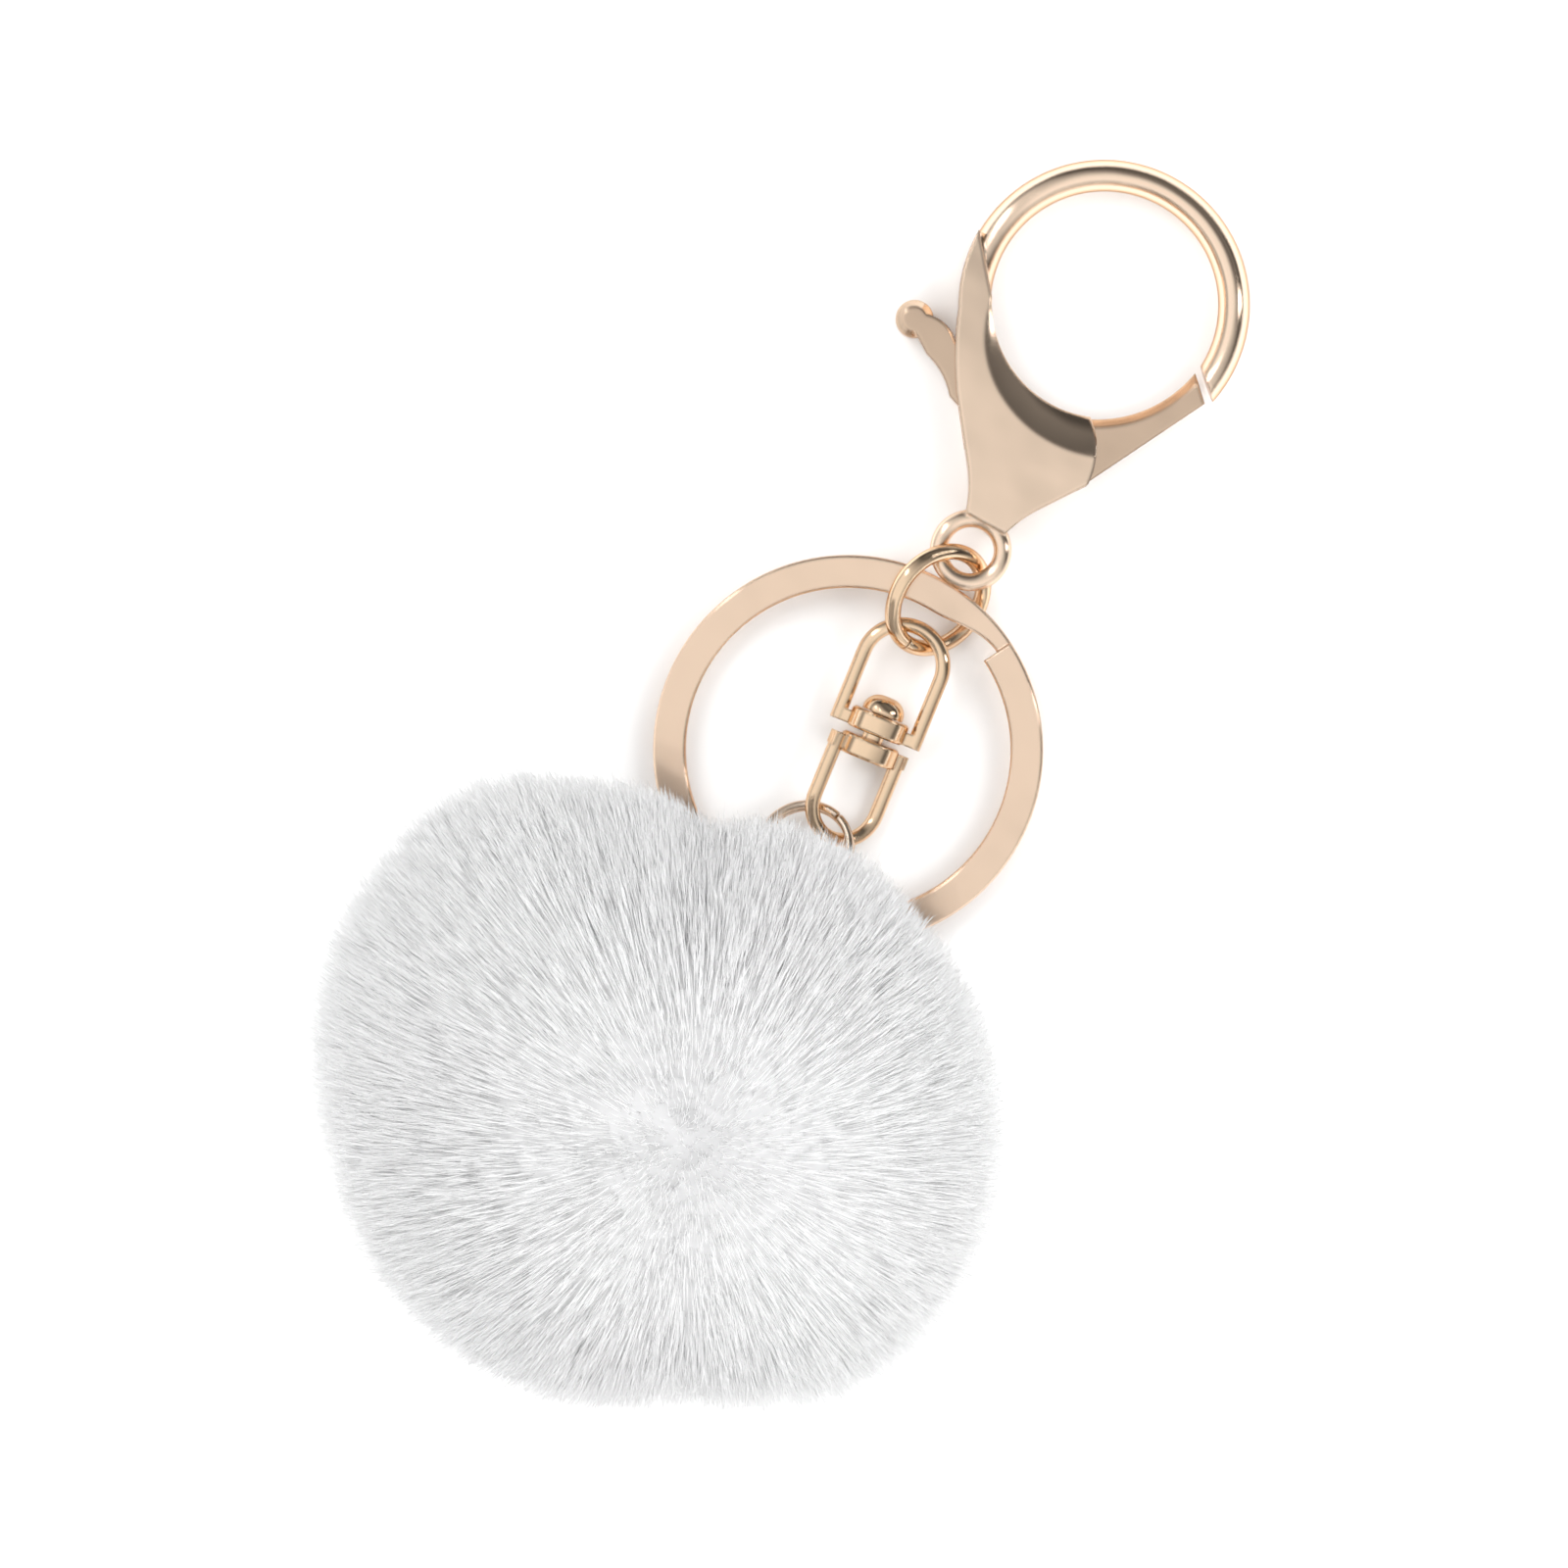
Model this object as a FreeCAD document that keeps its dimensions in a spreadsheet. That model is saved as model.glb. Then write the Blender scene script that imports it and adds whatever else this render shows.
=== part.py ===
import FreeCAD, Part
import math
import os
import Sketcher

# Plush ball keychain lying on a table. Millimetres, +Z up, +Y from the plush ball towards the clasp.
# Every position below is measured from the middle of the clasp's eye, and origin_x and origin_y
# carry it to the origin: the middle of the part's underside.

V = FreeCAD.Vector
doc = FreeCAD.newDocument("keychain")

# name, value (mm or degrees), what it is
DIMENSIONS = (
    ("origin_x", 1.3, "clasp eye to origin, X"),
    ("origin_y", 22.3, "clasp eye to origin, Y"),
    ("clasp_thick", 5.4, "clasp body, back to front"),
    ("hook_mid_radius", 10.93, "hook, middle of its section"),
    ("hook_width", 2.68, "hook section, across"),
    ("hook_thick", 4.0, "hook section, back to front"),
    ("hook_centre_y", 23.6, "eye to the middle of the hook"),
    ("eye_radius", 2.69, "eye, middle of its wire"),
    ("eye_wire", 0.75, "eye, radius of its wire"),
    ("eye_height", 4.22, "eye, height of its middle"),
    ("slot_thick", 2.6, "slot for the trigger"),
    ("slot_height", 1.0, "slot, height of its lower wall"),
    ("trigger_thick", 2.4, "trigger, back to front"),
    ("pivot_x", -0.5, "trigger pivot, X"),
    ("pivot_y", 10.6, "trigger pivot, Y"),
    ("pin_radius", 0.75, "trigger pin"),
    ("pin_length", 4.3, "trigger pin, length"),
    ("bore_radius", 0.8, "trigger bore"),
    ("tab_radius", 1.6, "thumb tab"),
    ("spring_radius", 1.45, "trigger spring, middle of its coil"),
    ("spring_wire", 0.18, "trigger spring, radius of its wire"),
    ("link_radius", 4.5, "connector ring, middle of its wire"),
    ("link_wire", 0.68, "connector ring, radius of its wire"),
    ("link_gap", 2.0, "connector ring, cut between its ends, degrees"),
    ("band_radius", 15.08, "key ring, middle of its band"),
    ("band_width", 2.75, "key ring band, across"),
    ("band_thick", 0.9, "key ring, one coil"),
    ("cut_angle", 28.0, "key ring, where its outer end stops, degrees from +Y"),
    ("jog_angle", 25.0, "key ring, length of the crossing, degrees"),
    ("bail_wire", 0.62, "swivel, radius of its wire"),
    ("upper_half_width", 3.45, "upper bail, half width"),
    ("upper_height", 10.0, "swivel middle to top of upper bail"),
    ("lower_half_width", 3.1, "lower bail, half width"),
    ("lower_height", 9.2, "swivel middle to end of lower bail"),
    ("drum_radius", 2.55, "swivel drums"),
    ("drum_gap", 0.5, "between the drums"),
    ("drum_height", 1.75, "one drum"),
    ("rivet_radius", 0.9, "swivel rivet"),
    ("rivet_clearance", 0.06, "rivet to upper drum"),
    ("rivet_head", 1.8, "rivet head, radius"),
    ("pom_ring_radius", 3.8, "plush ball's ring, middle of its wire"),
    ("pom_ring_wire", 0.36, "plush ball's ring, radius of its wire"),
    ("cord_radius", 0.45, "cord loop"),
    ("cord_bend", 1.3, "cord loop, radius of its bend"),
    ("ball_equator", 27.0, "plush ball, radius across"),
    ("ball_polar", 24.6, "plush ball, radius along its gathered axis"),
    ("cover_thick", 5.0, "plush cover, backing and pile"),
    ("mouth_radius", 2.0, "gathered opening"),
    ("drawstring_radius", 4.2, "drawstring, middle of its ring"),
    ("drawstring_wire", 0.45, "drawstring, radius"),
    ("anchor_radius", 4.2, "button inside the ball"),
    ("anchor_thick", 2.0, "button, thickness"),
)

sheet = doc.addObject("Spreadsheet::Sheet", "dims")
for row, (alias, number, note) in enumerate(DIMENSIONS, 1):
    sheet.set(f"A{row}", note)
    sheet.set(f"B{row}", str(number))
    sheet.setAlias(f"B{row}", alias)
doc.recompute()


def dim(alias):
    return float(sheet.get(alias))


def new_body(label):
    body = doc.addObject("PartDesign::Body", label)
    body.Label = label
    return body


def plane_of(body, role):
    return next(f for f in body.Origin.OriginFeatures if f.Role == role)


def new_sketch(body, name, role, offset=0.0):
    sketch = body.newObject("Sketcher::SketchObject", f"{body.Name}_{name}")
    sketch.AttachmentSupport = [(plane_of(body, role), "")]
    sketch.MapMode = "FlatFace"
    sketch.AttachmentOffset = FreeCAD.Placement(V(0, 0, offset), FreeCAD.Rotation())
    return sketch


def bind(sketch, constraint, name, expression):
    """Adds a named constraint and ties it to the sheet."""
    index = sketch.addConstraint(constraint)
    sketch.renameConstraint(index, name)
    sketch.setExpression(f"Constraints.{name}", expression)


def circle(sketch, name, x, y, radius, radius_from, x_from=None):
    """A circle with its radius, and where given its distance from the axis, tied to the sheet."""
    index = sketch.addGeometry(Part.Circle(V(x, y, 0), V(0, 0, 1), radius), False)
    bind(sketch, Sketcher.Constraint("Radius", index, radius), f"{name}_radius", radius_from)
    if x_from:
        bind(sketch, Sketcher.Constraint("DistanceX", -1, 1, index, 3, x), f"{name}_x", x_from)
    return index


def outline(sketch, start, steps):
    """A closed outline. A step is an end point, or a middle and an end point for an arc."""
    here = start
    for step in steps:
        if len(step) == 2 and isinstance(step[0], tuple):
            middle, end = step
            edge = Part.Arc(V(*here, 0), V(*middle, 0), V(*end, 0))
        else:
            end = step
            edge = Part.LineSegment(V(*here, 0), V(*end, 0))
        sketch.addGeometry(edge, False)
        here = end


def polar(radius, degrees, centre=(0.0, 0.0)):
    turn = math.radians(degrees)
    return (centre[0] + radius * math.cos(turn), centre[1] + radius * math.sin(turn))


def pad(body, sketch, name, length, length_from=None):
    feature = body.newObject("PartDesign::Pad", f"{body.Name}_{name}")
    feature.Profile = sketch
    feature.Length = length
    if length_from:
        feature.setExpression("Length", length_from)
    return feature


def pocket(body, sketch, name, length, up=True, length_from=None):
    """A pocket that cuts towards the sketch's own normal when up is set."""
    feature = body.newObject("PartDesign::Pocket", f"{body.Name}_{name}")
    feature.Profile = sketch
    feature.Length = length
    feature.Reversed = up
    if length_from:
        feature.setExpression("Length", length_from)
    return feature


def revolve(body, sketch, name, degrees=360.0, axis="V_Axis"):
    feature = body.newObject("PartDesign::Revolution", f"{body.Name}_{name}")
    feature.Profile = sketch
    feature.ReferenceAxis = (sketch, [axis])
    feature.Angle = degrees
    return feature


def place(item, position, rotation=None):
    """Puts a sub-part at a point measured from the clasp's eye."""
    x, y, z = position
    item.Placement = FreeCAD.Placement(
        V(x + dim("origin_x"), y + dim("origin_y"), z), rotation or FreeCAD.Rotation()
    )


def edges_where(feature, test):
    """The names of a feature's edges that pass a test, for a chamfer or a fillet."""
    return [f"Edge{n}" for n, edge in enumerate(feature.Shape.Edges, 1) if test(edge)]


def dress(body, kind, name, base, test, size):
    doc.recompute()
    feature = body.newObject(f"PartDesign::{kind}", f"{body.Name}_{name}")
    feature.Base = (base, edges_where(base, test))
    if kind == "Fillet":
        feature.Radius = size
    else:
        feature.Size = size
    return feature


def ring_edge(edge, radius, height):
    """True for an edge on a circle of this radius at this height."""
    curve = edge.Curve
    return (
        isinstance(curve, Part.Circle)
        and abs(curve.Radius - radius) < 0.05
        and abs(curve.Center.z - height) < 0.05
    )


# ---------------------------------------------------------------- clasp

INNER = dim("hook_mid_radius") - dim("hook_width") / 2
OUTER = dim("hook_mid_radius") + dim("hook_width") / 2
WALL = INNER - 0.05
HOOK = (0.0, dim("hook_centre_y"))
TIP_ANGLE = -18.0
ROOT_ANGLE = 208.0
NECK = (1.9, 2.6)
NECK_FLARE = ((2.7, 4.6), (3.85, 6.4))
FUNNEL_RIGHT = (6.0, 9.54)
COLLAR = polar(WALL, -68.7, HOOK)
COLLAR_BULGE = (5.35, 12.3)
RAMP_START, RAMP_MIDDLE, RAMP_END = 11.0, 18.0, 25.0
BEVEL = (1.5, 22.6)
BEVEL_RADIUS = 11.5
FUNNEL_LEFT = (-7.35, 11.05)
BACK_EDGE = (-9.32, 14.4)


def clasp_body():
    body = new_body("clasp_body")
    thick = dim("clasp_thick")
    # the flat-faced body, its inner side just inside the hook's own circle
    plan = new_sketch(body, "plan", "XY_Plane")
    back = OUTER + 0.06
    (flare_x, flare_y), (funnel_x, funnel_y) = NECK_FLARE
    outline(
        plan,
        (-NECK[0], NECK[1]),
        (
            NECK,
            NECK_FLARE,
            FUNNEL_RIGHT,
            (COLLAR_BULGE, COLLAR),
            (polar(WALL, 247, HOOK), polar(WALL, 205, HOOK)),
            polar(back, 178, HOOK),
            (polar(back, 194, HOOK), polar(back, 210, HOOK)),
            (BACK_EDGE, FUNNEL_LEFT),
            (-funnel_x, funnel_y),
            ((-flare_x, flare_y), (-NECK[0], NECK[1])),
        ),
    )
    pad(body, plan, "block", thick, "dims.clasp_thick")
    # the rounded bevel that runs down from the flat face to the opening
    bevel = new_sketch(body, "bevel_section", "XZ_Plane", -BEVEL[1])
    bevel.addGeometry(Part.LineSegment(V(BEVEL[0], 0, 0), V(BEVEL[0], 9, 0)), True)
    edge, foot = BEVEL[0] + BEVEL_RADIUS, BEVEL[0] + BEVEL_RADIUS - 3.4
    outline(
        bevel,
        (edge, thick + 0.01),
        (
            ((edge - 1.5, thick - 0.5), (foot, thick - 1.75)),
            (foot, thick + 2),
            (edge, thick + 2),
            (edge, thick + 0.01),
        ),
    )
    groove = body.newObject("PartDesign::Groove", "clasp_body_bevel")
    groove.Profile = bevel
    groove.ReferenceAxis = (bevel, ["Axis0"])
    groove.Angle = 360.0
    # the body thins towards the hook on both faces
    ramp = new_sketch(body, "ramp_side", "YZ_Plane", -20.0)
    for face, away in ((thick, 1.0), (0.0, -1.0)):
        rise = (thick - dim("hook_thick")) / 2 * away
        outline(
            ramp,
            (RAMP_START, face + 0.001 * away),
            (
                ((RAMP_MIDDLE, face - rise / 4), (RAMP_END, face - rise)),
                (RAMP_END, face + 2 * away),
                (RAMP_START, face + 2 * away),
                (RAMP_START, face + 0.001 * away),
            ),
        )
    pocket(body, ramp, "ramps", 40.0)
    # the slot that the trigger turns in
    slot = new_sketch(body, "slot_plan", "XY_Plane", dim("slot_height"))
    outline(
        slot,
        (-9.5, 7.3),
        ((1.5, 7.3), (8.0, 9.6), (8.0, 17.3), (-13.5, 17.3), (-9.5, 7.3)),
    )
    pocket(body, slot, "slot", dim("slot_thick"), True, "dims.slot_thick")
    # the blind hole for the pin, from the back
    hole = new_sketch(body, "pin_hole", "XY_Plane")
    circle(hole, "pin", dim("pivot_x"), dim("pivot_y"), dim("pin_radius"), "dims.pin_radius")
    pocket(body, hole, "pin_bore", dim("pin_length") + 0.1)
    # the hook, rounder than the body, from inside the body's end to its tip
    section = new_sketch(body, "hook_section", "XZ_Plane")
    section.AttachmentOffset = FreeCAD.Placement(
        V(0, 0, -HOOK[1]), FreeCAD.Rotation(V(0, 1, 0), TIP_ANGLE)
    )
    mid, half_w, half_t = dim("hook_mid_radius"), dim("hook_width") / 2, dim("hook_thick") / 2
    centre = V(mid, thick / 2, 0)
    section.addGeometry(Part.Ellipse(centre + V(0, half_t, 0), centre + V(half_w, 0, 0), centre), False)
    revolve(body, section, "hook", ROOT_ANGLE - TIP_ANGLE)
    tip = new_sketch(body, "tip_plan", "XY_Plane", -1.0)
    outline(
        tip,
        (8.0, 24.41),
        ((13.6, 19.26), (11.0, 16.0), (6.0, 20.0), (8.0, 24.41)),
    )
    pocket(body, tip, "tip_cut", thick + 2)
    # the eye, which the neck runs over
    eye = new_sketch(body, "eye_section", "XZ_Plane")
    circle(
        eye, "wire", dim("eye_radius"), dim("eye_height"),
        dim("eye_wire"), "dims.eye_wire", "dims.eye_radius",
    )
    revolve(body, eye, "eye")
    place(body, (0, 0, 0))


def clasp_trigger():
    body = new_body("clasp_trigger")
    px, py = dim("pivot_x"), dim("pivot_y")
    base = dim("slot_height") + 0.1
    top = base + dim("trigger_thick")
    # the thumb tab's round end, bevelled, which the arm runs into
    tab = new_sketch(body, "tab_plan", "XY_Plane", base)
    circle(tab, "tab", -13.5, 14.9, dim("tab_radius"), "dims.tab_radius")
    round_end = pad(body, tab, "tab", dim("trigger_thick"), "dims.trigger_thick")
    dress(
        body, "Chamfer", "tab_bevel", round_end,
        lambda edge: ring_edge(edge, dim("tab_radius"), top), 0.6,
    )
    plan = new_sketch(body, "plan", "XY_Plane", base)
    outline(
        plan,
        (2.0, 8.2),
        (
            (5.9, 9.75),
            (11.4, 20.32),
            (9.45, 22.22),
            (polar(INNER - 0.1, -42, HOOK), polar(INNER + 0.12, -69, HOOK)),
            (polar(INNER + 0.12, -84, HOOK), polar(INNER + 0.12, -96, HOOK)),
            (-6.5, 13.6),
            (-9.6, 14.95),
            ((-11.0, 15.75), (-13.1, 15.6)),
            (-13.3, 14.2),
            (-11.2, 12.8),
            ((-9.2, 11.9), (-7.8, 10.6)),
            (-3.0, 8.9),
            ((px, py - 3.05), (2.0, 8.2)),
        ),
    )
    block = pad(body, plan, "arm", dim("trigger_thick"), "dims.trigger_thick")
    # the bright bevel along the gate's inner edge
    def inner_edge(edge):
        box = edge.BoundBox
        return abs(box.ZMin - top) < 0.01 and abs(box.ZMax - top) < 0.01 and box.XMin > 3.0 and (
            isinstance(edge.Curve, Part.Circle)
        )
    dress(body, "Chamfer", "bevel", block, inner_edge, 0.7)
    bore = new_sketch(body, "bore_plan", "XY_Plane", base)
    circle(bore, "bore", px, py, dim("bore_radius"), "dims.bore_radius")
    pocket(body, bore, "bore", dim("trigger_thick"))
    seat = new_sketch(body, "seat_plan", "XY_Plane", base + 1.1)
    circle(seat, "seat", px, py, dim("spring_radius") + 0.35, "dims.spring_radius + 0.35")
    pocket(body, seat, "spring_seat", dim("trigger_thick"))
    place(body, (0, 0, 0))


def clasp_pin():
    body = new_body("clasp_pivot_pin")
    plan = new_sketch(body, "plan", "XY_Plane")
    circle(plan, "pin", 0, 0, dim("pin_radius"), "dims.pin_radius")
    pad(body, plan, "shank", dim("pin_length"), "dims.pin_length")
    place(body, (dim("pivot_x"), dim("pivot_y"), 0))


def coil_section(sketch, radius, wire, coils):
    """The outline of round coils lying on each other, each pressed a little into the next."""
    lift = wire * 0.94
    sides = math.sqrt(wire * wire - lift * lift)
    bottom = -lift * (coils - 1)
    first, last = bottom - wire, -bottom + wire
    middles = [bottom + 2 * lift * n for n in range(coils)]
    cusps = [z + lift for z in middles[:-1]]
    right = [((radius + wire, z), (radius + sides, c)) for z, c in zip(middles[1:-1], cusps[1:])]
    left = [((radius - wire, z), (radius - sides, c)) for z, c in zip(middles[-2:0:-1], cusps[-2::-1])]
    start = (radius + sides, cusps[0])
    over = ((radius, last), (radius - sides, cusps[-1]))
    under = ((radius, first), start)
    outline(sketch, start, (*right, over, *left, under))


def clasp_spring():
    body = new_body("clasp_spring")
    section = new_sketch(body, "section", "XZ_Plane")
    coil_section(section, dim("spring_radius"), dim("spring_wire"), 3)
    revolve(body, section, "coils")
    middle = dim("slot_height") + 1.2 + 3 * dim("spring_wire")
    place(body, (dim("pivot_x"), dim("pivot_y"), middle))


# ---------------------------------------------------------------- rings


def connector_ring():
    body = new_body("connector_ring")
    section = new_sketch(body, "section", "XZ_Plane")
    circle(
        section, "wire", dim("link_radius"), 0,
        dim("link_wire"), "dims.link_wire", "dims.link_radius",
    )
    turn = revolve(body, section, "ring")
    turn.setExpression("Angle", "360 - dims.link_gap")
    # local +X runs along the ring's level diameter, away from the eye, where the cut is hidden
    level = math.radians(90 - LINK_TURN)
    along = V(-math.cos(level), -math.sin(level), 0)
    across = V(-math.sin(level), math.cos(level), 0)
    tilt = math.radians(LINK_TILT)
    rise = across * math.cos(tilt) + V(0, 0, 1) * math.sin(tilt)
    place(body, LINK_CENTRE, FreeCAD.Rotation(along, rise, along.cross(rise), "XYZ"))


def key_ring():
    """Two flat coils of one strip, with the crossing that takes it from the upper to the lower."""
    radius, width, thick = dim("band_radius"), dim("band_width"), dim("band_thick")
    cut, jog = dim("cut_angle"), dim("jog_angle")
    soft = 0.16

    def strip(angle, height, inset=0.0):
        """The strip's section, standing at an angle from +Y towards +X."""
        inner, outer = radius - width / 2 + inset, radius + width / 2
        corners = (
            (inner + soft, height), (outer - soft, height),
            (outer, height + soft), (outer, height + thick - soft),
            (outer - soft, height + thick), (inner + soft, height + thick),
            (inner, height + thick - soft), (inner, height + soft),
        )
        turn = math.radians(90 - angle)
        points = [V(r * math.cos(turn), r * math.sin(turn), z) for r, z in corners]
        return Part.makePolygon(points + points[:1])

    def coil(height):
        face = Part.Face(strip(cut, height))
        return face.revolve(V(0, 0, 0), V(0, 0, -1), 360 - jog)

    stations = []
    for step in range(7):
        along = step / 6
        ease = along * along * (3 - 2 * along)
        angle = cut - jog + jog * along
        stations.append(strip(angle, -thick * ease, 1.3 * ease))
    crossing = Part.makeLoft(stations, True, False)
    ring = doc.addObject("Part::Feature", "key_ring")
    ring.Label = "key_ring"
    ring.Shape = coil(-thick).fuse([coil(0.0), crossing]).removeSplitter()
    place(ring, KEY_CENTRE, FreeCAD.Rotation(V(1, 0, 0), KEY_TILT))


def pom_ring():
    body = new_body("pom_ring")
    section = new_sketch(body, "section", "XZ_Plane")
    coil_section(section, dim("pom_ring_radius"), dim("pom_ring_wire"), 2)
    revolve(body, section, "coils")
    cut = new_sketch(body, "ends_plan", "XY_Plane")
    outline(cut, (0, 0), (polar(9, 68), polar(9, 72), (0, 0)))
    pocket(body, cut, "coil_end", 3.0)
    place(body, POM_RING_CENTRE, POM_RING_TURN)


# ---------------------------------------------------------------- swivel


def bail(body, half_width, reach, leg_start, sense):
    """A U of round wire about the sketch's Y axis, opening towards the swivel's middle."""
    path = new_sketch(body, "path", "XY_Plane")
    shoulder = sense * (reach - half_width)
    top = sense * reach
    path.addGeometry(Part.LineSegment(V(half_width, leg_start, 0), V(half_width, shoulder, 0)), False)
    path.addGeometry(
        Part.Arc(V(half_width, shoulder, 0), V(0, top, 0), V(-half_width, shoulder, 0)), False
    )
    path.addGeometry(Part.LineSegment(V(-half_width, shoulder, 0), V(-half_width, leg_start, 0)), False)
    section = new_sketch(body, "wire", "XZ_Plane", -leg_start)
    circle(section, "wire", half_width, 0, dim("bail_wire"), "dims.bail_wire")
    sweep = body.newObject("PartDesign::AdditivePipe", f"{body.Name}_sweep")
    sweep.Profile = section
    sweep.Spine = (path, ["Edge1", "Edge2", "Edge3"])


def drum(body, low, high):
    """A drum about the Y axis, with its rim eased, and a bore for the rivet."""
    plan = new_sketch(body, "drum_section", "XY_Plane")
    rim = 0.2
    edge = dim("drum_radius")
    outline(
        plan,
        (0, low),
        ((edge - rim, low), (edge, low + rim), (edge, high - rim), (edge - rim, high), (0, high), (0, low)),
    )
    revolve(body, plan, "drum")


def shoulder(body, half_width, low, high):
    """The bar that joins the wire's ends to the drum."""
    plan = new_sketch(body, "shoulder_plan", "XY_Plane", -dim("bail_wire") * 0.9)
    outline(
        plan,
        (-half_width, low),
        ((half_width, low), (half_width, high), (-half_width, high), (-half_width, low)),
    )
    pad(body, plan, "shoulder", 1.8 * dim("bail_wire"), "1.8 * dims.bail_wire")


def bore(body, low, length, radius, radius_from):
    plan = new_sketch(body, "rivet_bore_plan", "XZ_Plane", -low)
    circle(plan, "bore", 0, 0, radius, radius_from)
    pocket(body, plan, "rivet_bore", length, False)


def swivel_upper_bail():
    body = new_body("swivel_upper_bail")
    low = dim("drum_gap") / 2
    high = low + dim("drum_height")
    bail(body, dim("upper_half_width"), dim("upper_height"), low + 0.1, 1)
    shoulder(body, dim("upper_half_width") + 0.3, low + 0.1, low + 1.2)
    drum(body, low, high)
    radius = dim("rivet_radius") + dim("rivet_clearance")
    bore(body, low - 1, dim("drum_height") + 2, radius, "dims.rivet_radius + dims.rivet_clearance")
    place(body, SWIVEL_CENTRE, SWIVEL_TURN)


def swivel_lower_bail():
    body = new_body("swivel_lower_bail")
    high = -dim("drum_gap") / 2
    low = high - dim("drum_height")
    bail(body, dim("lower_half_width"), dim("lower_height"), high - 0.35, -1)
    shoulder(body, dim("lower_half_width") + 0.55, high - 1.45, high - 0.3)
    drum(body, low, high)
    bore(body, low - 1, dim("drum_height") + 2, dim("rivet_radius"), "dims.rivet_radius")
    roll = FreeCAD.Rotation(V(0, 1, 0), LOWER_ROLL)
    place(body, SWIVEL_CENTRE, SWIVEL_TURN.multiply(roll))


def swivel_rivet():
    body = new_body("swivel_rivet")
    gap, height = dim("drum_gap") / 2, dim("drum_height")
    shank, head = dim("rivet_radius"), dim("rivet_head")
    seat = gap + height + 0.08
    section = new_sketch(body, "section", "XY_Plane")
    outline(
        section,
        (0, -gap - height),
        (
            (shank, -gap - height), (shank, seat), (head, seat), (head, seat + 0.35),
            ((head * 0.8, seat + 1.1), (0.4, seat + 1.55)),
            (0, seat + 1.55),
            (0, -gap - height),
        ),
    )
    revolve(body, section, "rivet")
    place(body, SWIVEL_CENTRE, SWIVEL_TURN)


# ---------------------------------------------------------------- plush ball


def half_ellipse(sketch, across, along, mouth):
    """The right half of an ellipse about the Y axis, open at the top by the mouth's radius."""
    ellipse = Part.Ellipse(V(0, 0, 0), across, along)
    sketch.addGeometry(Part.ArcOfEllipse(ellipse, -math.pi / 2, math.acos(mouth / across)), False)
    return along * math.sqrt(1 - (mouth / across) ** 2)


def line(sketch, start, end):
    sketch.addGeometry(Part.LineSegment(V(*start, 0), V(*end, 0)), False)


def pom_fur_cover():
    body = new_body("pom_fur_cover")
    across, along, skin = dim("ball_equator"), dim("ball_polar"), dim("cover_thick")
    mouth = dim("mouth_radius")
    section = new_sketch(body, "section", "XY_Plane")
    outer = half_ellipse(section, across, along, mouth)
    inner = half_ellipse(section, across - skin, along - skin, mouth)
    line(section, (mouth, outer), (mouth, inner))
    line(section, (0, -along), (0, skin - along))
    circle(
        section, "channel", dim("drawstring_radius"), along - skin / 2,
        dim("drawstring_wire") + 0.05, "dims.drawstring_wire + 0.05", "dims.drawstring_radius",
    )
    revolve(body, section, "cover")
    place(body, BALL_CENTRE, BALL_TURN)


def pom_stuffing():
    body = new_body("pom_stuffing")
    gap = 0.05
    across = dim("ball_equator") - dim("cover_thick") - gap
    along = dim("ball_polar") - dim("cover_thick") - gap
    well = dim("anchor_radius") + 0.15
    floor = ANCHOR_LOW - 0.2
    section = new_sketch(body, "section", "XY_Plane")
    top = half_ellipse(section, across, along, well)
    line(section, (well, top), (well, floor))
    line(section, (well, floor), (0, floor))
    line(section, (0, floor), (0, -along))
    revolve(body, section, "filling")
    place(body, BALL_CENTRE, BALL_TURN)


def pom_anchor():
    body = new_body("pom_anchor")
    plan = new_sketch(body, "plan", "XZ_Plane", -ANCHOR_LOW)
    circle(plan, "rim", 0, 0, dim("anchor_radius"), "dims.anchor_radius")
    pad(body, plan, "disc", dim("anchor_thick"), "dims.anchor_thick").Reversed = True
    holes = new_sketch(body, "holes_plan", "XZ_Plane", 1 - ANCHOR_LOW)
    for side in (-1, 1):
        circle(
            holes, "left" if side < 0 else "right", 0, side * dim("cord_bend"),
            dim("cord_radius") + 0.05, "dims.cord_radius + 0.05",
        )
    pocket(body, holes, "cord_holes", dim("anchor_thick") + 2, False)
    place(body, BALL_CENTRE, BALL_TURN)


def pom_drawstring():
    body = new_body("pom_drawstring")
    section = new_sketch(body, "section", "XY_Plane")
    circle(
        section, "wire", dim("drawstring_radius"), dim("ball_polar") - dim("cover_thick") / 2,
        dim("drawstring_wire"), "dims.drawstring_wire", "dims.drawstring_radius",
    )
    revolve(body, section, "ring")
    place(body, BALL_CENTRE, BALL_TURN)


def pom_loop():
    """The elastic cord: up through the button, round the small ring and back."""
    body = new_body("pom_loop")
    bend = dim("cord_bend")
    low, high = ANCHOR_LOW, BALL_TO_RING
    path = new_sketch(body, "path", "YZ_Plane")
    line(path, (low, bend), (high, bend))
    path.addGeometry(Part.Arc(V(high, bend, 0), V(high + bend, 0, 0), V(high, -bend, 0)), False)
    line(path, (high, -bend), (low, -bend))
    section = new_sketch(body, "section", "XZ_Plane", -low)
    circle(section, "cord", 0, bend, dim("cord_radius"), "dims.cord_radius")
    sweep = body.newObject("PartDesign::AdditivePipe", f"{body.Name}_sweep")
    sweep.Profile = section
    sweep.Spine = (path, ["Edge1", "Edge2", "Edge3"])
    place(body, BALL_CENTRE, BALL_TURN)


# ---------------------------------------------------------------- where the linked parts lie

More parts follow.
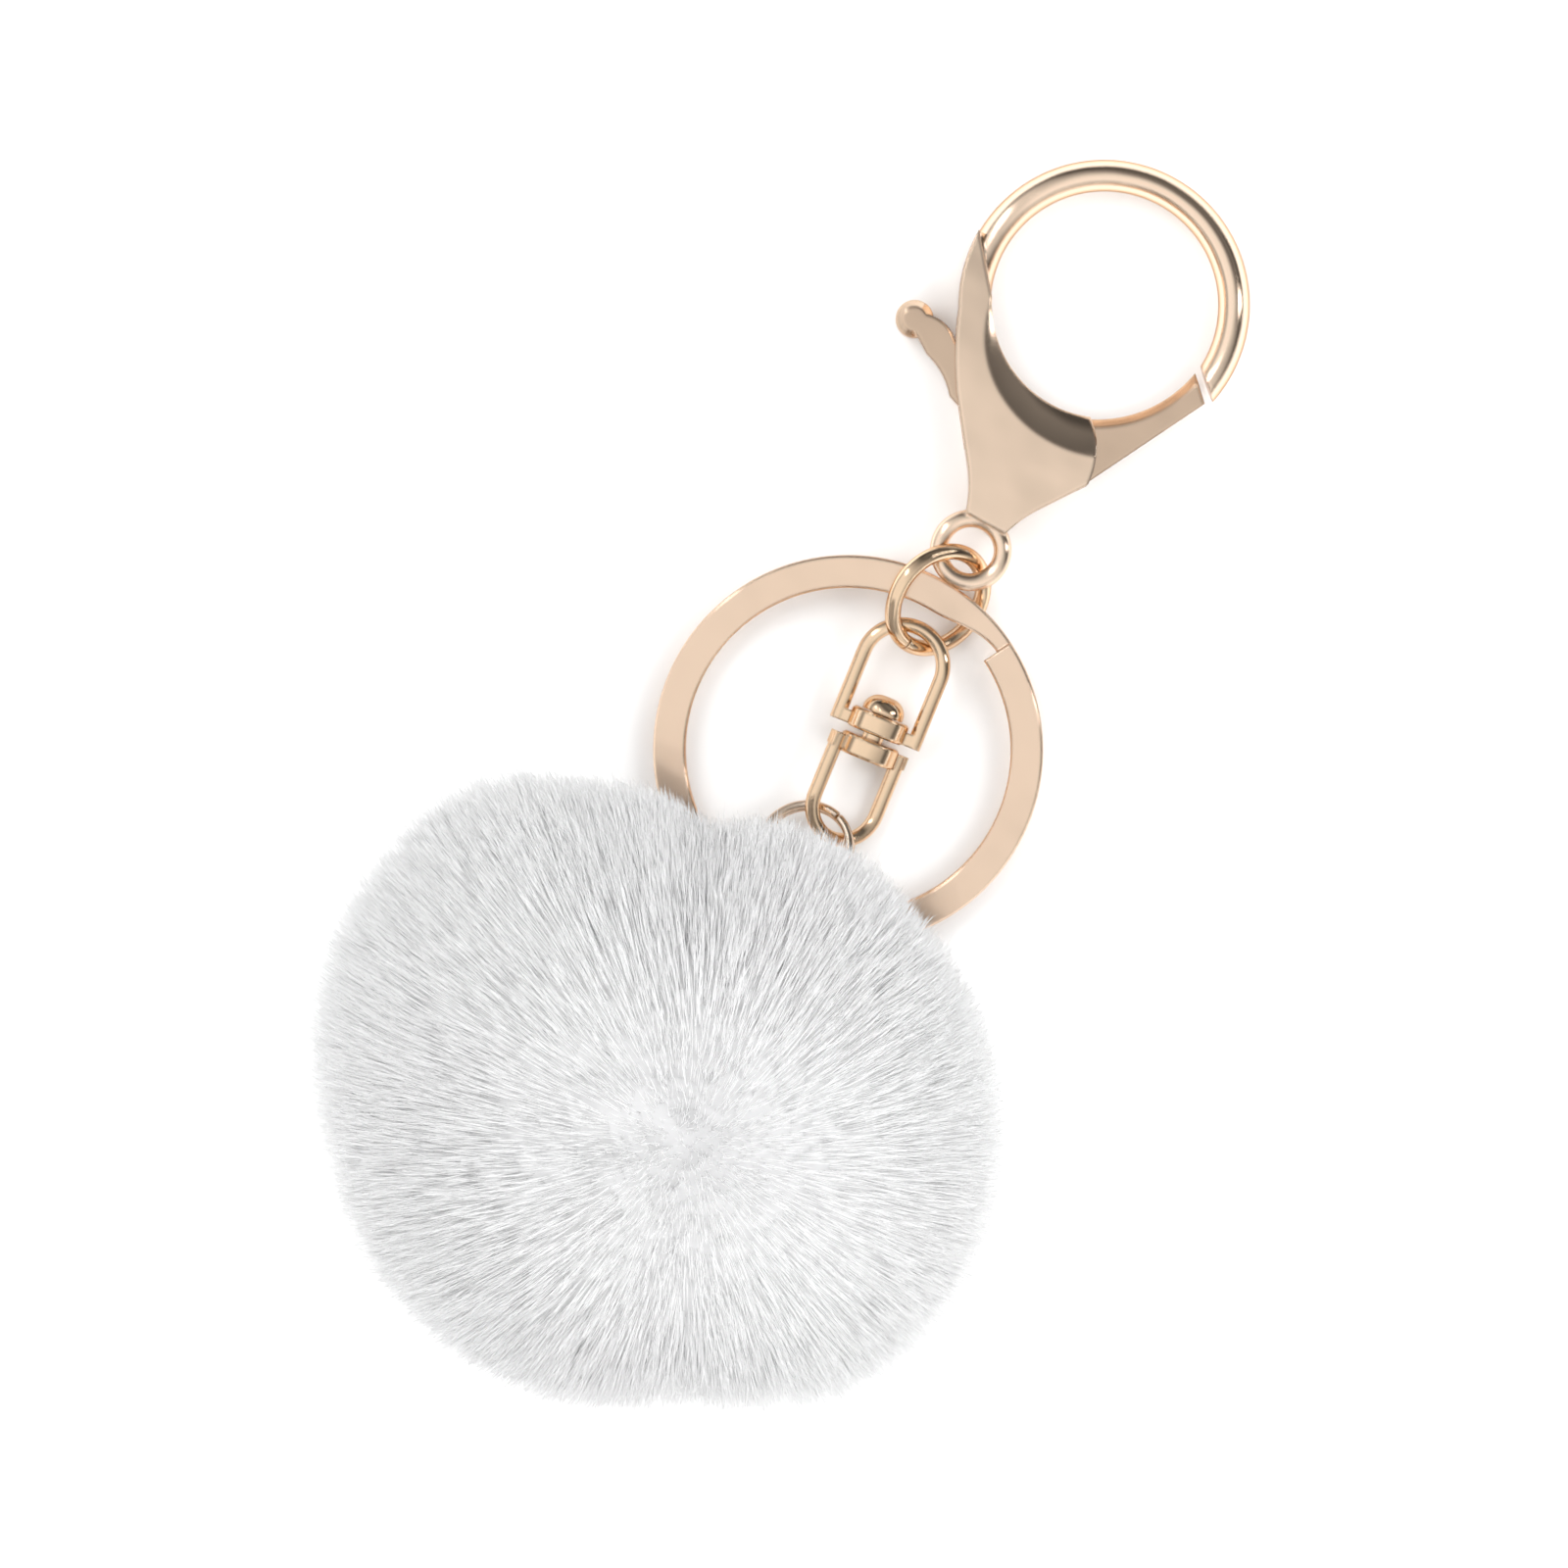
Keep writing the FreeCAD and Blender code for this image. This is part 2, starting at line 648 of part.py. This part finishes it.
LINK_CENTRE = (-0.40, -4.96, 3.75)
LINK_TURN = 11.2
LINK_TILT = 43.0
KEY_CENTRE = (-0.99, -19.68, 1.88)
KEY_TILT = 2.9
SWIVEL_CENTRE = (0.33, -17.75, 2.75)
SWIVEL_TURN = FreeCAD.Rotation(V(0, 0, 1), 6.5).multiply(FreeCAD.Rotation(V(1, 0, 0), 2.5))
LOWER_ROLL = 28.0
POM_RING_CENTRE = (-0.19, -28.67, 3.26)
POM_RING_TURN = FreeCAD.Rotation(V(1, 0, 0), -14.4).multiply(FreeCAD.Rotation(V(0, 1, 0), -15.9))
POM_RING_SOUTH = (-0.57, -32.36, 4.09)
BALL_CENTRE = (-1.3, -54.3, 25.84)
ANCHOR_LOW = 15.2
BALL_AXIS = V(*POM_RING_SOUTH) - V(*BALL_CENTRE)
BALL_TO_RING = BALL_AXIS.Length
BALL_TURN = FreeCAD.Rotation(V(0, 1, 0), BALL_AXIS)

for make in (
    clasp_body, clasp_trigger, clasp_pin, clasp_spring, connector_ring, key_ring,
    swivel_upper_bail, swivel_lower_bail, swivel_rivet, pom_ring, pom_loop, pom_anchor,
    pom_fur_cover, pom_stuffing, pom_drawstring,
):
    make()
doc.recompute()

NODES = [
    item for item in doc.Objects
    if item.TypeId in ("PartDesign::Body", "Part::Feature")
]
os.makedirs("parts", exist_ok=True)
for item in doc.Objects:
    if "Invalid" in item.State or "Error" in item.State:
        raise RuntimeError(f"{item.Label} did not build")
for node in NODES:
    shape = node.Shape
    if shape.isNull() or not shape.isValid() or len(shape.Solids) != 1:
        raise RuntimeError(f"{node.Label}: {len(shape.Solids)} solids, valid {shape.isValid()}")
    shape.exportStep(f"parts/{node.Label}.step")
    box = shape.BoundBox
    print(
        f"{node.Label}: volume {shape.Volume:.1f}, "
        f"x {box.XMin:.2f} {box.XMax:.2f}, y {box.YMin:.2f} {box.YMax:.2f}, z {box.ZMin:.2f} {box.ZMax:.2f}"
    )
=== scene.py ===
import math

import bpy
import numpy as np
from mathutils import Matrix, Vector
from mathutils.kdtree import KDTree


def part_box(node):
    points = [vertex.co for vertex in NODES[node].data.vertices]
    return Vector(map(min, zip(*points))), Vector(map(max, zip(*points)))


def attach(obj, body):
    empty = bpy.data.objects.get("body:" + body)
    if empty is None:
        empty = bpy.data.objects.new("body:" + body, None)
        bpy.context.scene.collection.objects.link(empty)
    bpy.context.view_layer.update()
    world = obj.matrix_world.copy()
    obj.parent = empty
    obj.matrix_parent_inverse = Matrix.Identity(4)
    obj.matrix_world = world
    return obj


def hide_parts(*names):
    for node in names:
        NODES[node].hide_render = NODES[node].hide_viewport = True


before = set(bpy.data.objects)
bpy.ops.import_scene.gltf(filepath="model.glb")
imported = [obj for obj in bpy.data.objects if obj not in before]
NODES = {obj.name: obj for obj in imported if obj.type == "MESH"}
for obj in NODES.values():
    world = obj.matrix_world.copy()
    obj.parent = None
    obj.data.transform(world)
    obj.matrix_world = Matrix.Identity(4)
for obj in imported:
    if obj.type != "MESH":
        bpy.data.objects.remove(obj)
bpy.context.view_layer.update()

MM = 0.001

# The chain lies along +Y. The picture is taken from straight above and turned by 28.6 degrees.
PICTURE_RIGHT = Vector((0.8776, 0.4794, 0.0))
PICTURE_UP = Vector((-0.4794, 0.8776, 0.0))
PICTURE_CENTRE = Vector((-3.06, -2.5, 3.0)) * MM
PICTURE_WIDTH = 132.2 * MM
LENS = 250.0
SENSOR_WIDTH = 36.0
CLIP_START, CLIP_END = 0.01, 10.0
FLOOR_SIZE = 3.0

# Gold plating, in metres. Cast pieces have rounder edges than drawn wire and strip.
CAST_EDGE = 0.00045
DRAWN_EDGE = 0.00028
EDGE_SAMPLES = 4
GRAZING_TINT = (0.62, 0.44, 0.32)
# Unevenness: noise scale, strength, distance.
NOISE_DETAIL = 3.0
HAND_POLISH = (55.0, 1.0, 0.0005)
ORANGE_PEEL = (900.0, 0.05, 0.00002)
MOULD_GRAIN = (1500.0, 0.1, 0.00002)
# material, colour, roughness, edge, the nodes that wear it
GOLDS = (
    ("gold_clasp", (1.0, 0.78, 0.60), 0.13, CAST_EDGE, ("clasp_body",)),
    # The trigger wears the clasp's gold made about a quarter darker: painted shade.
    ("gold_trigger_painted_shade", (0.77, 0.58, 0.43), 0.13, CAST_EDGE, ("clasp_trigger",)),
    (
        "gold_links", (0.94, 0.70, 0.48), 0.10, DRAWN_EDGE,
        ("connector_ring", "swivel_upper_bail", "swivel_lower_bail", "swivel_rivet"),
    ),
    ("gold_band", (0.93, 0.71, 0.54), 0.15, DRAWN_EDGE, ("key_ring",)),
    ("gold_small_ring", (0.86, 0.70, 0.56), 0.15, DRAWN_EDGE, ("pom_ring",)),
)

# Fur, in millimetres. Its middle is a little nearer the chain than the middle of the plain cover.
COVER_LOW, COVER_HIGH = (np.array(corner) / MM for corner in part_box("pom_fur_cover"))
FUR_MIDDLE = 0.5 * (COVER_LOW + COVER_HIGH) + np.array((0.04, 2.4, 0.06))
# The outline seen from above: degrees from +X, reach from the fur's middle.
FUR_OUTLINE = (
    (3, 30.1), (23, 28.9), (49, 27.3), (63, 26.5), (78, 26.2), (98, 24.9), (108, 22.4), (116, 25.1),
    (132, 26.9), (148, 30.4), (157, 30.7), (173, 30.4), (184, 30.3), (200, 29.4), (220, 28.0),
    (241, 28.5), (262, 27.9), (281, 27.3), (304, 25.9), (329, 29.7), (344, 30.5),
)
# It is smoothed in steps of half a degree.
OUTLINE_STEPS = 720
OUTLINE_SOFTNESS = 7.0
OUTLINE_SPAN = 24
FUR_TOP = 26.0
FUR_BOTTOM = 25.7
PILE = 7.5
BACKING_DEPTH = 0.36 * PILE
WHORL = np.array((0.265, -0.15, 0.95))
TUFTS = (
    # direction, spread in degrees, height: soft rises and dents, the whorl's among them
    ((0.55, 0.25, 0.80), 17.0, 0.8),
    ((-0.35, 0.35, 0.87), 22.0, 0.9),
    ((-0.45, -0.30, 0.84), 18.0, 0.8),
    ((0.25, -0.55, 0.80), 20.0, 0.9),
    (tuple(WHORL), 7.0, -1.2),
    ((-0.03, -0.31, 0.95), 6.0, -0.7),
    ((-0.1, 0.75, 0.65), 14.0, -0.9),
    ((-0.80, 0.10, 0.55), 16.0, 0.6),
    ((0.80, -0.35, 0.45), 15.0, 0.6),
)
GORES = 12
STRANDS_PER_GORE = 7400
SEED = 7

# Hairs. Lengths are in millimetres. Leans and sways are sideways per unit of outward direction, and
# LOCK_PULL is the most that a hair is drawn from its root towards the middle of its lock, as a share.
HAIR_RADIUS = (0.055, 0.085)
HAIR_TAPER = 0.7
HAIR_SIDES = 3
HAIR_STATIONS = (0.0, 0.35, 0.62, 0.84, 1.0)
TINT_SHARES = (0.35, 0.45, 0.20)
DIRECTION_SCATTER = 1.2
LEAN = 0.24
LEAN_SCATTER = 0.03
LEANS_FULLY_AT = 0.5
LOCKS = 6000
LOCK_SWAY = 0.02
LOCK_PULL = 0.2
LOCK_HEIGHT_SCATTER = 0.15
HAIR_SWAY = 0.02
LENGTH_SCATTER = 0.8
STRAY_SHARE = 0.03
STRAY_REACH = (0.4, 1.3)
KNEE_DEPTH = 0.35 * PILE
KNEE_FOLLOWS_TIP = 0.3
FLOOR_GAP = 0.05
FLOOR_PILE = (0.1, 0.7)


# ---------------------------------------------------------------- materials


def principled(name, colour, metallic=0.0, roughness=0.5):
    material = bpy.data.materials.new(name)
    material.use_nodes = True
    shader = material.node_tree.nodes["Principled BSDF"]
    shader.inputs["Base Color"].default_value = (*colour, 1.0)
    shader.inputs["Metallic"].default_value = metallic
    shader.inputs["Roughness"].default_value = roughness
    return material, shader


def add_bump(material, shader, scale, strength, distance, under=None):
    """Unevenness such as plating's orange peel or the grain of moulded plastic, over what is under it."""
    tree = material.node_tree
    place = tree.nodes.new("ShaderNodeTexCoord")
    noise = tree.nodes.new("ShaderNodeTexNoise")
    noise.inputs["Scale"].default_value = scale
    noise.inputs["Detail"].default_value = NOISE_DETAIL
    bump = tree.nodes.new("ShaderNodeBump")
    bump.inputs["Strength"].default_value = strength
    bump.inputs["Distance"].default_value = distance
    tree.links.new(place.outputs["Object"], noise.inputs["Vector"])
    tree.links.new(noise.outputs["Fac"], bump.inputs["Height"])
    if under:
        tree.links.new(under.outputs["Normal"], bump.inputs["Normal"])
    tree.links.new(bump.outputs["Normal"], shader.inputs["Normal"])
    return bump


def gold(name, colour, roughness, edge):
    """Polished plating: eased edges, a hand-polished waviness, a fine orange peel, richer at a slant."""
    material, shader = principled(name, colour, 1.0, roughness)
    shader.inputs["Specular Tint"].default_value = (*GRAZING_TINT, 1.0)
    eased = material.node_tree.nodes.new("ShaderNodeBevel")
    eased.samples = EDGE_SAMPLES
    eased.inputs["Radius"].default_value = edge
    wave = add_bump(material, shader, *HAND_POLISH, eased)
    add_bump(material, shader, *ORANGE_PEEL, wave)
    return material


def fabric(name, colour, roughness=0.9, sheen=0.3):
    material, shader = principled(name, colour, 0.0, roughness)
    shader.inputs["Sheen Weight"].default_value = sheen
    shader.inputs["Specular IOR Level"].default_value = 0.2
    return material


# ---------------------------------------------------------------- metal


def dress_node(node, material, smooth_angle=35.0):
    piece = NODES[node]
    piece.data.materials.clear()
    piece.data.materials.append(material)
    piece.data.shade_smooth()
    piece.data.set_sharp_from_angle(angle=math.radians(smooth_angle))


def metal():
    for name, colour, roughness, edge, nodes in GOLDS:
        material = gold(name, colour, roughness, edge)
        for node in nodes:
            dress_node(node, material)
    steel, _ = principled("pin_steel", (0.6, 0.58, 0.56), 1.0, 0.3)
    for node in ("clasp_pivot_pin", "clasp_spring"):
        dress_node(node, steel)


# ---------------------------------------------------------------- fur


def outline_radius(azimuth):
    """The fur's reach in the level plane, smooth all the way round."""
    angles = np.radians([a for a, _ in FUR_OUTLINE])
    reach = np.array([r for _, r in FUR_OUTLINE])
    fine = np.linspace(0.0, 2 * math.pi, OUTLINE_STEPS + 1)[:-1]
    values = np.interp(fine, angles, reach, period=2 * math.pi)
    kernel = np.exp(-0.5 * (np.arange(-OUTLINE_SPAN, OUTLINE_SPAN + 1) / OUTLINE_SOFTNESS) ** 2)
    kernel /= kernel.sum()
    around = np.r_[values[-OUTLINE_SPAN:], values, values[:OUTLINE_SPAN]]
    values = np.convolve(around, kernel, "valid")
    return np.interp(azimuth, fine, values, period=2 * math.pi)


def fur_radius(direction):
    """How far the fur's tips reach from its middle, for unit directions, in millimetres."""
    azimuth = np.arctan2(direction[:, 1], direction[:, 0])
    level = np.hypot(direction[:, 0], direction[:, 1])
    rise = direction[:, 2]
    vertical = np.where(rise > 0, FUR_TOP, FUR_BOTTOM)
    radius = 1.0 / np.sqrt((level / outline_radius(azimuth)) ** 2 + (rise / vertical) ** 2)
    for towards, spread, height in TUFTS:
        centre = np.array(towards) / np.linalg.norm(towards)
        apart = np.arccos(np.clip(direction @ centre, -1.0, 1.0))
        radius += height * np.exp(-0.5 * (apart / math.radians(spread)) ** 2)
    return radius


def unit(vectors):
    return vectors / np.linalg.norm(vectors, axis=1, keepdims=True)


def hair_pattern(along):
    """One hair's triangles, and for each whether it is at the root (0) or further along (1)."""
    faces = [(0, 2, 1)]
    kinds = [0]
    for step in range(along - 2):
        low = HAIR_SIDES * step
        high = low + HAIR_SIDES
        for corner in range(HAIR_SIDES):
            follow = (corner + 1) % HAIR_SIDES
            a, b, c, d = low + corner, low + follow, high + follow, high + corner
            faces += [(a, b, c), (a, c, d)]
            kinds += [0 if step == 0 else 1] * 2
    last = HAIR_SIDES * (along - 2)
    tip = last + HAIR_SIDES
    for corner in range(HAIR_SIDES):
        faces.append((last + corner, last + (corner + 1) % HAIR_SIDES, tip))
        kinds.append(1)
    return np.array(faces), np.array(kinds)


def fur_mesh(name, stations, width, tints, random):
    """Tapered three-sided hairs, each a closed mesh. stations is (hairs, points along, 3)."""
    hairs, along, _ = stations.shape
    run = np.gradient(stations, axis=1)
    run /= np.linalg.norm(run, axis=2, keepdims=True)
    aside = np.cross(run, random.normal(size=(hairs, 1, 3)))
    aside /= np.linalg.norm(aside, axis=2, keepdims=True)
    other = np.cross(run, aside)
    taper = np.linspace(1.0, 0.0, along) ** HAIR_TAPER
    rings = []
    for corner in range(HAIR_SIDES):
        turn = 2 * math.pi * corner / HAIR_SIDES
        offset = math.cos(turn) * aside + math.sin(turn) * other
        rings.append(stations + offset * (width[:, None] * taper)[:, :, None])
    body = np.stack([r[:, :-1] for r in rings], axis=2).reshape(hairs, -1, 3)
    points = np.concatenate([body, stations[:, -1:]], axis=1)
    per_hair = points.shape[1]
    pattern, kinds = hair_pattern(along)
    triangles = (pattern[None] + per_hair * np.arange(hairs)[:, None, None]).reshape(-1, 3)
    mesh = bpy.data.meshes.new(name)
    mesh.vertices.add(hairs * per_hair)
    mesh.vertices.foreach_set("co", (points * MM).astype(np.float32).ravel())
    mesh.loops.add(len(triangles) * 3)
    mesh.loops.foreach_set("vertex_index", triangles.astype(np.int32).ravel())
    mesh.polygons.add(len(triangles))
    mesh.polygons.foreach_set("loop_start", np.arange(0, 3 * len(triangles), 3, dtype=np.int32))
    shade = random.choice(len(tints) - 1, size=hairs, p=TINT_SHARES) + 1
    slots = np.where(kinds[None] == 0, 0, shade[:, None])
    for tint in tints:
        mesh.materials.append(tint)
    mesh.polygons.foreach_set("material_index", slots.astype(np.int32).ravel())
    mesh.update()
    mesh.shade_smooth()
    piece = bpy.data.objects.new(name, mesh)
    bpy.context.scene.collection.objects.link(piece)
    return piece


def even_directions(count, random):
    """Unit directions spread evenly over a sphere, a little unevenly placed."""
    step = np.arange(count) + 0.5
    rise = 1.0 - 2.0 * step / count
    turn = step * math.pi * (3.0 - math.sqrt(5.0))
    level = np.sqrt(1.0 - rise**2)
    spread = np.stack([level * np.cos(turn), level * np.sin(turn), rise], axis=1)
    return unit(spread + random.normal(scale=DIRECTION_SCATTER / math.sqrt(count), size=(count, 3)))


def hair_stations(roots, random):
    """Points along each hair, from the backing to its tip, in millimetres."""
    whorl = WHORL / np.linalg.norm(WHORL)
    comb = (roots @ whorl)[:, None] * roots - whorl
    away = np.linalg.norm(comb, axis=1, keepdims=True)
    comb /= np.maximum(away, 1e-6)
    lean = LEAN * np.clip(away / LEANS_FULLY_AT, 0.0, 1.0)
    lean = lean + random.normal(scale=LEAN_SCATTER, size=(len(roots), 1))
    # hairs gather into small locks, and the locks lie unevenly
    locks = even_directions(LOCKS, random)
    tree = KDTree(LOCKS)
    for index, lock in enumerate(locks):
        tree.insert(lock, index)
    tree.balance()
    nearest = np.array([tree.find(root)[1] for root in roots])
    sway = random.normal(scale=LOCK_SWAY, size=(LOCKS, 3))[nearest]
    pull = random.uniform(0.0, LOCK_PULL, size=(LOCKS, 1))[nearest]
    drawn = roots + pull * (locks[nearest] - roots)
    tips = unit(drawn + lean * comb + sway + random.normal(scale=HAIR_SWAY, size=roots.shape))
    lock_height = random.normal(scale=LOCK_HEIGHT_SCATTER, size=LOCKS)[nearest]
    shorter = np.abs(random.normal(scale=LENGTH_SCATTER, size=len(roots)))
    reach = fur_radius(tips) + lock_height - shorter
    stray = random.random(len(roots)) < STRAY_SHARE
    reach += np.where(stray, random.uniform(*STRAY_REACH, len(roots)), 0.0)
    surface = fur_radius(roots)[:, None]
    base = roots * (surface - PILE)
    end = tips * reach[:, None]
    knee = roots * (surface - KNEE_DEPTH) + KNEE_FOLLOWS_TIP * (end - base)
    knee -= KNEE_FOLLOWS_TIP * np.sum((end - base) * roots, axis=1)[:, None] * roots
    s = np.array(HAIR_STATIONS)[None, :, None]
    curve = (1 - s) ** 2 * base[:, None] + 2 * s * (1 - s) * knee[:, None] + s**2 * end[:, None]
    curve += FUR_MIDDLE
    settle = FLOOR_GAP + random.uniform(*FLOOR_PILE, size=curve.shape[:2])
    curve[:, :, 2] = np.maximum(curve[:, :, 2], settle)
    return curve


def fur_backing_painted_shade():
    """The lumpy body under the fur, which fills between the hairs; fur() gives it a grey that is painted
    shade for the deep pile.
    """
    bpy.ops.mesh.primitive_ico_sphere_add(subdivisions=6, radius=1.0)
    piece = bpy.context.object
    piece.name = "fur_backing_painted_shade"
    count = len(piece.data.vertices)
    points = np.zeros(count * 3)
    piece.data.vertices.foreach_get("co", points)
    points = unit(points.reshape(-1, 3))
    points = points * (fur_radius(points) - BACKING_DEPTH)[:, None] + FUR_MIDDLE
    piece.data.vertices.foreach_set("co", (points * MM).ravel())
    piece.data.update()
    piece.data.shade_smooth()
    return piece


def fur():
    random = np.random.default_rng(SEED)
    tints = (
        fabric("fur_root", (0.88, 0.88, 0.883)),
        fabric("fur_light", (0.88, 0.88, 0.883)),
        fabric("fur_mid", (0.872, 0.872, 0.875)),
        fabric("fur_grey", (0.86, 0.86, 0.864)),
    )
    backing = fur_backing_painted_shade()
    # The backing is grey where the fur is white: painted shade for the deep pile between the hairs.
    backing.data.materials.append(fabric("fur_backing_painted_shade", (0.60, 0.60, 0.604)))
    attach(backing, "ball")
    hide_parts("pom_fur_cover")
    strands = GORES * STRANDS_PER_GORE // 1
    roots = even_directions(strands, random)
    stations = hair_stations(roots, random)
    width = random.uniform(*HAIR_RADIUS, strands) * 1
    turn = np.arctan2(roots[:, 1], roots[:, 0])
    order = np.argsort(turn)
    for gore, members in enumerate(np.array_split(order, GORES)):
        piece = fur_mesh(f"fur_{gore:02d}", stations[members], width[members], tints, random)
        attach(piece, "ball")


def soft_parts():
    cord = fabric("cord_white", (0.8, 0.8, 0.79), 0.8, 0.2)
    filling = fabric("filling_white", (0.85, 0.85, 0.85))
    button, shader = principled("button_plastic", (0.85, 0.85, 0.83), 0.0, 0.45)
    add_bump(button, shader, *MOULD_GRAIN)
    for node in ("pom_loop", "pom_drawstring"):
        dress_node(node, cord)
    dress_node("pom_stuffing", filling)
    dress_node("pom_anchor", button)


# ---------------------------------------------------------------- picture

# The sky's level by height (0 at the horizon, 1 overhead), and from 0 away from the dark flag to 1 at it.
SKY_BY_HEIGHT = ((0.0, 0.7), (1.0, 0.92), (0.12, 0.85), (0.22, 0.30), (0.34, 0.35), (0.5, 1.0))
SKY_BY_SIDE = (
    (0.0, 1.0), (1.0, 0.6), (0.46, 1.0), (0.51, 0.86), (0.56, 0.74), (0.66, 0.40), (0.74, 0.12),
    (0.97, 0.2),
)
FLAG_TOWARDS = (0.28, 0.96, 0.0)
STUDIO_LIGHTS = (
    # name, where (m), size (m), power (W), seen in the metal
    ("left", (-0.75, 0.1, 0.75), (0.9, 0.9), 6.0, False),
    ("right", (0.8, 0.15, 0.7), (0.9, 0.9), 7.0, False),
    ("front", (0.05, -0.85, 0.75), (1.0, 0.8), 4.5, False),
    ("back", (0.25, 0.85, 0.75), (0.9, 0.8), 6.0, False),
    ("strip_left", (-0.6, 0.2, 0.8), (0.12, 0.7), 0.8, True),
    ("strip_right", (0.7, 0.5, 0.55), (0.10, 0.5), 0.8, True),
)


def floor():
    bpy.ops.mesh.primitive_plane_add(size=FLOOR_SIZE, location=(0, 0, 0))
    plane = bpy.context.object
    plane.name = "floor"
    material, _ = principled("floor_white", (0.93, 0.93, 0.93), 0.0, 0.7)
    plane.data.materials.append(material)


def area_light(name, location, size, power, in_metal):
    data = bpy.data.lights.new(name, "AREA")
    data.shape = "RECTANGLE"
    data.size, data.size_y = size
    data.energy = power
    lamp = bpy.data.objects.new(name, data)
    lamp.location = location
    lamp.rotation_euler = (-Vector(location)).to_track_quat("-Z", "Y").to_euler()
    lamp.visible_glossy = in_metal
    bpy.context.scene.collection.objects.link(lamp)


def ramp(tree, fac, stops):
    """A grey ramp of (position, level) stops. The first two stops are the ramp's own ends."""
    node = tree.nodes.new("ShaderNodeValToRGB")
    elements = node.color_ramp.elements
    for index, (position, level) in enumerate(stops):
        element = elements[index] if index < 2 else elements.new(position)
        element.position = position
        element.color = (level, level, level, 1.0)
    tree.links.new(fac, node.inputs["Fac"])
    return node.outputs["Color"]


def lights():
    """A white studio with one dark flag beyond the hook, as polished metal shows in the picture."""
    world = bpy.data.worlds.new("studio")
    bpy.context.scene.world = world
    world.use_nodes = True
    tree = world.node_tree
    background = tree.nodes["Background"]
    background.inputs["Strength"].default_value = 1.0
    place = tree.nodes.new("ShaderNodeTexCoord")
    parts = tree.nodes.new("ShaderNodeSeparateXYZ")
    tree.links.new(place.outputs["Generated"], parts.inputs["Vector"])
    by_height = ramp(tree, parts.outputs["Z"], SKY_BY_HEIGHT)
    across = tree.nodes.new("ShaderNodeVectorMath")
    across.operation = "DOT_PRODUCT"
    across.inputs[1].default_value = FLAG_TOWARDS
    half = tree.nodes.new("ShaderNodeMath")
    half.operation = "MULTIPLY_ADD"
    half.inputs[1].default_value = 0.5
    half.inputs[2].default_value = 0.5
    tree.links.new(place.outputs["Generated"], across.inputs[0])
    tree.links.new(across.outputs["Value"], half.inputs[0])
    by_side = ramp(tree, half.outputs["Value"], SKY_BY_SIDE)
    both = tree.nodes.new("ShaderNodeMix")
    both.data_type = "RGBA"
    both.blend_type = "MULTIPLY"
    both.inputs["Factor"].default_value = 1.0
    tree.links.new(by_height, both.inputs["A"])
    tree.links.new(by_side, both.inputs["B"])
    tree.links.new(both.outputs["Result"], background.inputs["Color"])
    for settings in STUDIO_LIGHTS:
        area_light(*settings)


def camera():
    data = bpy.data.cameras.new("camera")
    data.type = "PERSP"
    data.sensor_width = SENSOR_WIDTH
    data.lens = LENS
    eye = bpy.data.objects.new("camera", data)
    back = PICTURE_RIGHT.cross(PICTURE_UP)
    turn = Matrix((PICTURE_RIGHT, PICTURE_UP, back)).transposed()
    distance = PICTURE_WIDTH / SENSOR_WIDTH * LENS
    eye.matrix_world = Matrix.Translation(PICTURE_CENTRE + back * distance) @ turn.to_4x4()
    data.clip_start, data.clip_end = CLIP_START, CLIP_END
    bpy.context.scene.collection.objects.link(eye)
    bpy.context.scene.camera = eye


metal()
soft_parts()
fur()
floor()
lights()
camera()
bpy.context.scene.view_settings.view_transform = "Standard"
